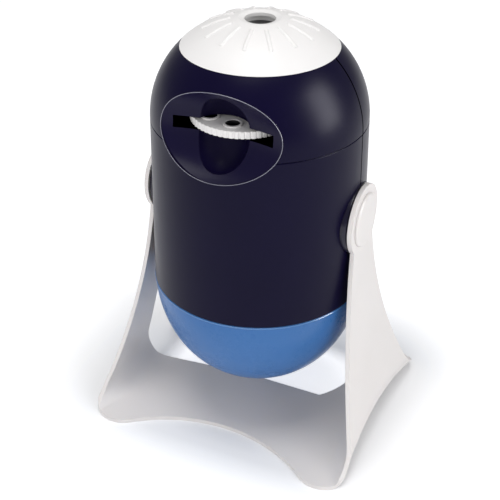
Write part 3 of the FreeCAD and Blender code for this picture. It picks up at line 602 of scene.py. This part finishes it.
def sweep(path: Sequence[Vector], radius: float, sides: int,
          closed: bool = True) -> bmesh.types.BMesh:
    """A bead of round section along a row of points.

    Args:
        path: The points in order.
        radius: The bead's radius in metres.
        sides: Corners of its section.
        closed: Whether the row is a ring. A row with ends gets them filled.

    Returns:
        The bead.
    """
    shape = bmesh.new()
    rings = []
    count = len(path)
    for index, point in enumerate(path):
        after = path[(index + 1) % count] if closed else path[min(index + 1, count - 1)]
        before = path[index - 1] if closed else path[max(index - 1, 0)]
        turn = (after - before).normalized().to_track_quat("Z", "Y").to_matrix().to_4x4()
        made = bmesh.ops.create_circle(shape, cap_ends=False, segments=sides, radius=radius,
                                       matrix=Matrix.Translation(point) @ turn)
        ring_verts = set(made["verts"])
        rings.append([edge for edge in shape.edges if edge.verts[0] in ring_verts])
    for index, ring in enumerate(rings if closed else rings[:-1]):
        bmesh.ops.bridge_loops(shape, edges=ring + rings[(index + 1) % count])
    bmesh.ops.holes_fill(shape, edges=shape.edges)
    return shape


def join(shapes: Sequence[bmesh.types.BMesh]) -> bmesh.types.BMesh:
    """Puts several shapes into one, which stay apart in it."""
    whole = bmesh.new()
    for shape in shapes:
        part = bpy.data.meshes.new("part")
        shape.to_mesh(part)
        shape.free()
        whole.from_mesh(part)
        bpy.data.meshes.remove(part)
    return whole


def block(low: Vector, high: Vector, edge: float) -> bmesh.types.BMesh:
    """A block with rounded edges.

    Args:
        low: Its lowest corner.
        high: Its highest corner.
        edge: The radius of its edges.

    Returns:
        The block.
    """
    shape = bmesh.new()
    bmesh.ops.create_cube(shape, size=1.0)
    bmesh.ops.scale(shape, vec=high - low, verts=shape.verts)
    bmesh.ops.translate(shape, vec=(low + high) / 2.0, verts=shape.verts)
    bmesh.ops.bevel(shape, geom=list(shape.edges), offset=edge, segments=3, profile=0.5,
                    affect="EDGES", material=-1)
    return shape


def tube(centre: Vector, radius: float, wall: float, low: float, high: float,
         sides: int = 48) -> bmesh.types.BMesh:
    """An upright tube.

    Args:
        centre: A point on its axis.
        radius: Its outer radius.
        wall: The thickness of its wall.
        low: The height of its lower end.
        high: The height of its upper end.
        sides: Its flats.

    Returns:
        The tube.
    """
    shape = bmesh.new()
    corners = [shape.verts.new((centre.x + reach, centre.y, height))
               for reach, height in ((radius, low), (radius, high), (radius - wall, high),
                                     (radius - wall, low))]
    edges = [shape.edges.new((corner, corners[index - 1]))
             for index, corner in enumerate(corners)]
    bmesh.ops.spin(shape, geom=corners + edges, cent=(centre.x, centre.y, 0.0),
                   axis=(0.0, 0.0, 1.0), angle=2.0 * math.pi, steps=sides, use_merge=True)
    return shape


def cross(centre: Vector, reach: float, half_width: float, depth: float) -> bmesh.types.BMesh:
    """The socket of a cross-headed screw that faces the rear.

    Args:
        centre: The middle of its open face.
        reach: From its middle to the end of an arm.
        half_width: Half the width of an arm.
        depth: How deep it goes.

    Returns:
        The socket's plug.
    """
    shape = bmesh.new()
    bmesh.ops.create_grid(shape, x_segments=3, y_segments=3, size=reach)
    for vert in shape.verts:
        for axis in (0, 1):
            if abs(vert.co[axis]) < 0.5 * reach:
                vert.co[axis] = math.copysign(half_width, vert.co[axis])
    corners = [face for face in shape.faces
               if min(abs(axis) for axis in face.calc_center_median().xy) > half_width]
    bmesh.ops.delete(shape, geom=corners, context="FACES")
    raised = bmesh.ops.extrude_face_region(shape, geom=list(shape.faces))
    lifted = [item for item in raised["geom"] if isinstance(item, bmesh.types.BMVert)]
    bmesh.ops.translate(shape, vec=(0.0, 0.0, -depth), verts=lifted)
    bmesh.ops.transform(shape, matrix=Matrix.Translation(centre)
                        @ Matrix.Rotation(math.radians(-90.0), 4, "X"), verts=shape.verts)
    return shape


@dataclass
class Stand(Assembly):
    """The bent strip with its swept arms, and the pins in their heads."""

    body: str = "stand"
    finishes: dict[str, Finish] = field(default_factory=lambda: {
        "stand_frame": Finish.WARM_WHITE,
        "pivot_pin_right": Finish.WARM_WHITE,
        "pivot_pin_left": Finish.WARM_WHITE,
    })


@dataclass
class Barrel(Assembly):
    """The capsule's shells, its hubs and what is inside it.

    Attributes:
        seam_radius: Radius at the blue seam.
        seam_height: Height of the blue seam.
        shoulder_radius: Radius at the upper seam.
        shoulder_height: Height of the upper seam.
        shoulder_sweep: Radius of the shoulder's curve.
        port_half_width: Half width of the port's oval.
        port_half_height: Half height of the port's oval.
        port_height: Height of the port's middle.
        bead_radius: Radius of the bead round the port.
        bead_steps: Points round that bead.
        lip_radius: Radius of the bead under the dome's top edge.
        lip_drop: How far that bead is under the seam.
        lip_sink: How far its middle is inside the seam's radius, in radii of the bead.
        lip_steps: Points round that bead.
        socket_reach: Half the length of a screw's cross.
        socket_width: Half the width of an arm of the cross.
        socket_depth: Depth of the cross.
        socket_lift: How far the cross stands off the screw's head.
        grip_rows: Ribs of the door's finger grip.
        grip_base: Height of the lowest rib.
        grip_pitch: Step between the ribs.
        grip_angle: Half the angle that a rib spans round the barrel.
        grip_radius: Radius of a rib.
        grip_steps: Runs along a rib.
    """

    body: str = "barrel"
    finishes: dict[str, Finish] = field(default_factory=lambda: {
        "lower_shell_front": Finish.NAVY,
        "lower_shell_rear": Finish.NAVY,
        "upper_shell_front": Finish.NAVY,
        "upper_shell_rear": Finish.NAVY,
        "base_dome": Finish.SKY_BLUE,
        "port_insert": Finish.LIT_NAVY_DISH,
        "hub_right": Finish.NAVY_HUB,
        "hub_left": Finish.NAVY_HUB,
        "disc_deck": Finish.BLACK,
        "disc_spindle": Finish.BLACK,
        "lamp_tower": Finish.BLACK,
        "lamp_led": Finish.LENS,
        "condenser_lens": Finish.LENS,
        "lens_deck": Finish.BLACK,
        "battery_box": Finish.BLACK,
        "battery_cells": Finish.CELL,
        "battery_door": Finish.NAVY,
        "door_screw": Finish.STEEL,
        "circuit_board": Finish.BOARD,
        "switch_base": Finish.BLACK,
        "shell_screws": Finish.STEEL,
    })
    seam_radius: float = 0.0585
    seam_height: float = 0.0862
    shoulder_radius: float = 0.057
    shoulder_height: float = 0.1817
    shoulder_sweep: float = 0.05185
    port_half_width: float = 0.033
    port_half_height: float = 0.02165
    port_height: float = 0.19015
    bead_radius: float = 0.0002
    bead_steps: int = 144
    lip_radius: float = 0.00045
    lip_drop: float = 0.0007
    lip_sink: float = 0.55
    lip_steps: int = 180
    socket_reach: float = 0.0015
    socket_width: float = 0.00033
    socket_depth: float = 0.0002
    socket_lift: float = 0.00003
    grip_rows: int = 5
    grip_base: float = 0.1025
    grip_pitch: float = 0.0024
    grip_angle: float = 0.16
    grip_radius: float = 0.0006
    grip_steps: int = 16

    def radius_at(self, height: float) -> float:
        """The barrel's outer radius at a height."""
        if height < self.shoulder_height:
            share = (height - self.seam_height) / (self.shoulder_height - self.seam_height)
            return self.seam_radius + share * (self.shoulder_radius - self.seam_radius)
        rise = height - self.shoulder_height
        return (self.shoulder_radius - self.shoulder_sweep
                + math.sqrt(self.shoulder_sweep ** 2 - rise ** 2))

    def port_point(self, angle: float) -> Vector:
        """A point of the port's rim, on the barrel's surface."""
        across = self.port_half_width * math.cos(angle)
        height = self.port_height + self.port_half_height * math.sin(angle)
        depth = math.sqrt(self.radius_at(height) ** 2 - across ** 2)
        return Vector((across, -depth, height))

    def build(self) -> None:
        """Makes the beads, the door's grip and the screws' sockets, as black plugs of painted
        shade.
        """
        rim = [self.port_point(angle) for angle in round_turn(self.bead_steps)]
        # The rim bead's pale colour is a painted highlight.
        self.add_piece("port_rim_bead", sweep(rim, self.bead_radius, sides=8),
                       Finish.NAVY_RIM_HIGHLIGHT, "navy_plastic")
        # The lip bead's lighter blue is a painted highlight.
        self.add_piece("dome_lip_bead", sweep(self.lip(), self.lip_radius, sides=10),
                       Finish.BLUE_LIP_HIGHLIGHT, "blue_plastic")
        self.add_piece("door_grip_ribs", join(self.grip()), Finish.NAVY_HUB, "navy_plastic")
        # Painted shade: the screws' cross sockets are black plugs standing in for the shade in
        # their hollows.
        self.add_piece("screw_socket_shades", join(self.sockets()), Finish.BLACK, "steel",
                       smooth=False)

    def lip(self) -> list[Vector]:
        """The middle line of the bead just under the dome's top edge."""
        radius = self.seam_radius - self.lip_radius * self.lip_sink
        return [Vector((radius * math.cos(angle), radius * math.sin(angle),
                        self.seam_height - self.lip_drop)) for angle in round_turn(self.lip_steps)]

    def grip(self) -> list[bmesh.types.BMesh]:
        """The ribs of the door's finger grip."""
        angles = [self.grip_angle * (2.0 * step / self.grip_steps - 1.0)
                  for step in range(self.grip_steps + 1)]
        ribs = []
        for row in range(self.grip_rows):
            height = self.grip_base + row * self.grip_pitch
            radius = self.radius_at(height)
            path = [Vector((radius * math.sin(angle), radius * math.cos(angle), height))
                    for angle in angles]
            ribs.append(sweep(path, self.grip_radius, sides=10, closed=False))
        return ribs

    def sockets(self) -> list[bmesh.types.BMesh]:
        """The sockets of the door's screw and the four shell screws."""
        low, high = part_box("door_screw")
        places = [Vector(((low[0] + high[0]) / 2.0, high[1], (low[2] + high[2]) / 2.0))]
        low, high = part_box("shell_screws")
        inset = (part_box("door_screw")[1][0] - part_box("door_screw")[0][0]) / 2.0
        places += [Vector((across, high[1], height))
                   for across in (low[0] + inset, high[0] - inset)
                   for height in (low[2] + inset, high[2] - inset)]
        lift = Vector((0.0, self.socket_lift, 0.0))
        return [cross(place + lift, self.socket_reach, self.socket_width, self.socket_depth)
                for place in places]


@dataclass
class SlideWheel(Assembly):
    """The knurled slide disc and its films.

    Attributes:
        axis_offset: From the barrel's axis to the disc's, which is also the
            radius of the ring of windows.
        window_count: Windows in the disc.
        first_window: Degrees from the front to the first window.
        lining_radius: Outer radius of the black lining in a window, painted shade over its wall.
        lining_wall: Thickness of its wall.
        lining_drop: How far its top is under the disc's highest point.
    """

    body: str = "slide_wheel"
    finishes: dict[str, Finish] = field(default_factory=lambda: {
        "slide_disc": Finish.CAP_WHITE,
        "slide_films": Finish.FILM,
    })
    axis_offset: float = 0.019
    window_count: int = 8
    first_window: float = 9.0
    lining_radius: float = 0.00374
    lining_wall: float = 0.0003
    lining_drop: float = 0.0004

    def build(self) -> None:
        """Makes black linings in the windows, painted shade over their walls."""
        film_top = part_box("slide_films")[1][2]
        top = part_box("slide_disc")[1][2] - self.lining_drop
        linings = []
        for window in range(self.window_count):
            turn = math.radians(self.first_window + 360.0 / self.window_count * window)
            centre = Vector((self.axis_offset * math.sin(turn),
                             -self.axis_offset * (1.0 + math.cos(turn)), 0.0))
            linings.append(tube(centre, self.lining_radius, self.lining_wall, film_top, top))
        # Painted shade: black tubes line the windows' walls.
        self.add_piece("window_shade_linings", join(linings), Finish.BLACK, "black_plastic")


@dataclass
class FocusRing(Assembly):
    """The ribbed cap that focuses the projector."""

    body: str = "focus_ring"
    finishes: dict[str, Finish] = field(default_factory=lambda: {
        "focus_cap": Finish.CAP_WHITE,
    })


@dataclass
class LensCarrier(Assembly):
    """The sliding lens holder and its lens."""

    body: str = "lens_carrier"
    finishes: dict[str, Finish] = field(default_factory=lambda: {
        "lens_holder": Finish.GREY,
        "focus_lens": Finish.LENS,
    })


@dataclass
class PowerSwitch(Assembly):
    """The switch's knob at the back.

    Attributes:
        ridge_count: Ridges across the knob.
        ridge_height: How far a ridge stands out of the knob.
        ridge_half_width: Half the width of a ridge.
        ridge_half_length: Half the length of a ridge.
        ridge_pitch: Step between the ridges.
        ridge_sink: How deep a ridge starts in the knob.
        ridge_edge: Radius of a ridge's edges.
    """

    body: str = "power_switch"
    finishes: dict[str, Finish] = field(default_factory=lambda: {
        "switch_slider": Finish.BLACK,
    })
    ridge_count: int = 3
    ridge_height: float = 0.0003
    ridge_half_width: float = 0.00035
    ridge_half_length: float = 0.0024
    ridge_pitch: float = 0.0014
    ridge_sink: float = 0.0002
    ridge_edge: float = 0.0001

    def build(self) -> None:
        """Makes the ridges on the knob."""
        low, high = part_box("switch_slider")
        middle = (low[2] + high[2]) / 2.0
        ridges = []
        for row in range(self.ridge_count):
            height = middle + (row - (self.ridge_count - 1) / 2.0) * self.ridge_pitch
            ridges.append(block(
                Vector((-self.ridge_half_length, high[1] - self.ridge_sink,
                        height - self.ridge_half_width)),
                Vector((self.ridge_half_length, high[1] + self.ridge_height,
                        height + self.ridge_half_width)),
                self.ridge_edge))
        self.add_piece("switch_ridges", join(ridges), Finish.BLACK, "black_plastic")


@dataclass(frozen=True)
class Softbox:
    """A rectangular light that faces the projector.

    Attributes:
        name: The light's name.
        place: Where it stands.
        width: Its width.
        height: Its height.
        brightness: Its radiance.
        diffuse: Whether it lights what scatters.
        glossy: Whether it shows in what shines.
    """

    name: str
    place: tuple[float, float, float]
    width: float
    height: float
    brightness: float
    diffuse: bool = True
    glossy: bool = True

    def build(self, target: Vector) -> None:
        """Adds the light.

        Args:
            target: The point that it faces.
        """
        light = bpy.data.lights.new(self.name, "AREA")
        light.shape = "RECTANGLE"
        light.size, light.size_y = self.width, self.height
        light.energy = self.brightness * math.pi * self.width * self.height
        lamp = bpy.data.objects.new(self.name, light)
        lamp.location = self.place
        lamp.visible_diffuse = self.diffuse
        lamp.visible_glossy = self.glossy
        lamp.rotation_euler = look_along(target - Vector(self.place))
        bpy.context.scene.collection.objects.link(lamp)


@dataclass(frozen=True)
class WhiteFloor:
    """A white floor whose glow, painted light, dies away where the stand's shadows lie.

    Attributes:
        colour: Linear base colour.
        half_size: Half the length of its sides.
        left: Reach of the shadows' outline to the left of the origin.
        right: Its reach to the right.
        front: Its reach to the front.
        rear: Its reach to the rear.
        squareness: The power that shapes the outline, where 2 is an oval.
        spread: What a point on the outline reads on the glow's scale.
        glow: Places on that scale, each with its glow of painted light.
    """

    colour: Colour = (0.87, 0.875, 0.89)
    half_size: float = 8.0
    left: float = 0.091
    right: float = 0.080
    front: float = 0.060
    rear: float = 0.076
    squareness: float = 4.0
    spread: float = 0.2
    # Painted light and shadow: the first stop lifts the shade under the barrel, the zero stops
    # leave a ring of shadow round the stand, the last stops whiten the floor beyond.
    glow: tuple[tuple[float, float], ...] = ((0.12, 0.6), (0.15, 0.0), (0.205, 0.0), (0.29, 0.3),
                                             (1.0, 0.38))

    def build(self) -> None:
        """Makes the floor."""
        shape = bmesh.new()
        bmesh.ops.create_grid(shape, x_segments=1, y_segments=1, size=self.half_size)
        mesh = bpy.data.meshes.new("studio_floor")
        shape.to_mesh(mesh)
        shape.free()
        mesh.materials.append(self.material())
        plane = bpy.data.objects.new("studio_floor", mesh)
        bpy.context.scene.collection.objects.link(plane)

    def material(self) -> bpy.types.Material:
        """The floor's material."""
        graph = Graph("studio_white")
        across, along = graph.part("X"), graph.part("Y")
        span = (across * (-1.0 / self.left)).at_least(across * (1.0 / self.right))
        reach = (along * (-1.0 / self.front)).at_least(along * (1.0 / self.rear))
        away = (span ** self.squareness + reach ** self.squareness) ** (1.0 / self.squareness)
        return graph.finish({
            "Base Color": rgba(self.colour),
            "Roughness": 0.9,
            "Specular IOR Level": 0.0,
            # Painted light: the floor's glow follows the outline round the stand, not the lamps.
            "Emission Color": graph.ramp(away * self.spread, self.glow),
            "Emission Strength": 1.0,
        })


@dataclass
class Studio:
    """A white floor, soft lights and the camera.

    Attributes:
        eye: The camera's place.
        target: The point that it looks at.
        lens: Its focal length in millimetres.
        sensor: The width of its sensor in millimetres.
        sky_strength: Brightness of the even light from all sides.
        aim: The point that the soft lights face.
        softboxes: The soft lights.
    """

    eye: Vector = field(default_factory=lambda: Vector((0.2177, -0.4718, 0.4277)))
    target: Vector = field(default_factory=lambda: Vector((-0.0046, -0.0022, 0.0975)))
    lens: float = 78.96
    sensor: float = 36.0
    sky_strength: float = 0.32
    aim: Vector = field(default_factory=lambda: Vector((0.0, 0.0, 0.12)))
    softboxes: tuple[Softbox, ...] = (
        Softbox("right_softbox", (1.10, 0.16, 0.53), 0.50, 0.85, 14.5, diffuse=False),
        Softbox("top_fill", (-0.1, -0.10, 1.8), 1.0, 1.0, 5.0),
        Softbox("front_fill", (-0.35, -1.38, 0.75), 1.4, 1.0, 1.7, glossy=False),
        Softbox("right_fill", (1.3, -0.3, 0.7), 0.9, 0.9, 3.1, glossy=False),
    )

    def build(self) -> None:
        """Makes the floor, the lights and the camera."""
        bpy.context.scene.view_settings.view_transform = "Standard"
        WhiteFloor().build()
        self.sky()
        for softbox in self.softboxes:
            softbox.build(self.aim)
        self.camera()

    def sky(self) -> None:
        """Lights the scene evenly from all sides."""
        world = bpy.data.worlds.new("studio_air")
        bpy.context.scene.world = world
        world.use_nodes = True
        background = world.node_tree.nodes["Background"]
        background.inputs["Color"].default_value = (1.0, 1.0, 1.0, 1.0)
        background.inputs["Strength"].default_value = self.sky_strength

    def camera(self) -> None:
        """Adds the camera."""
        data = bpy.data.cameras.new("studio_camera")
        data.lens = self.lens
        data.sensor_width = self.sensor
        data.clip_start = 0.01
        eye = bpy.data.objects.new("studio_camera", data)
        eye.location = self.eye
        eye.rotation_euler = look_along(self.target - self.eye)
        bpy.context.scene.collection.objects.link(eye)
        bpy.context.scene.camera = eye


def look_along(direction: Vector) -> Euler:
    """The turn that faces a light or the camera along a direction."""
    return direction.to_track_quat("-Z", "Y").to_euler()


def main() -> None:
    """Loads the frame and builds every sub-assembly in order."""
    logging.basicConfig(level=logging.INFO, format="%(name)s: %(message)s")
    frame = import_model()
    assemblies: list[Assembly] = [Stand(), Barrel(), SlideWheel(), FocusRing(), LensCarrier(),
                                  PowerSwitch()]
    for assembly in assemblies:
        assembly.dress(frame["nodes"])
        assembly.build()
    Studio().build()


if __name__ == "__main__":
    main()
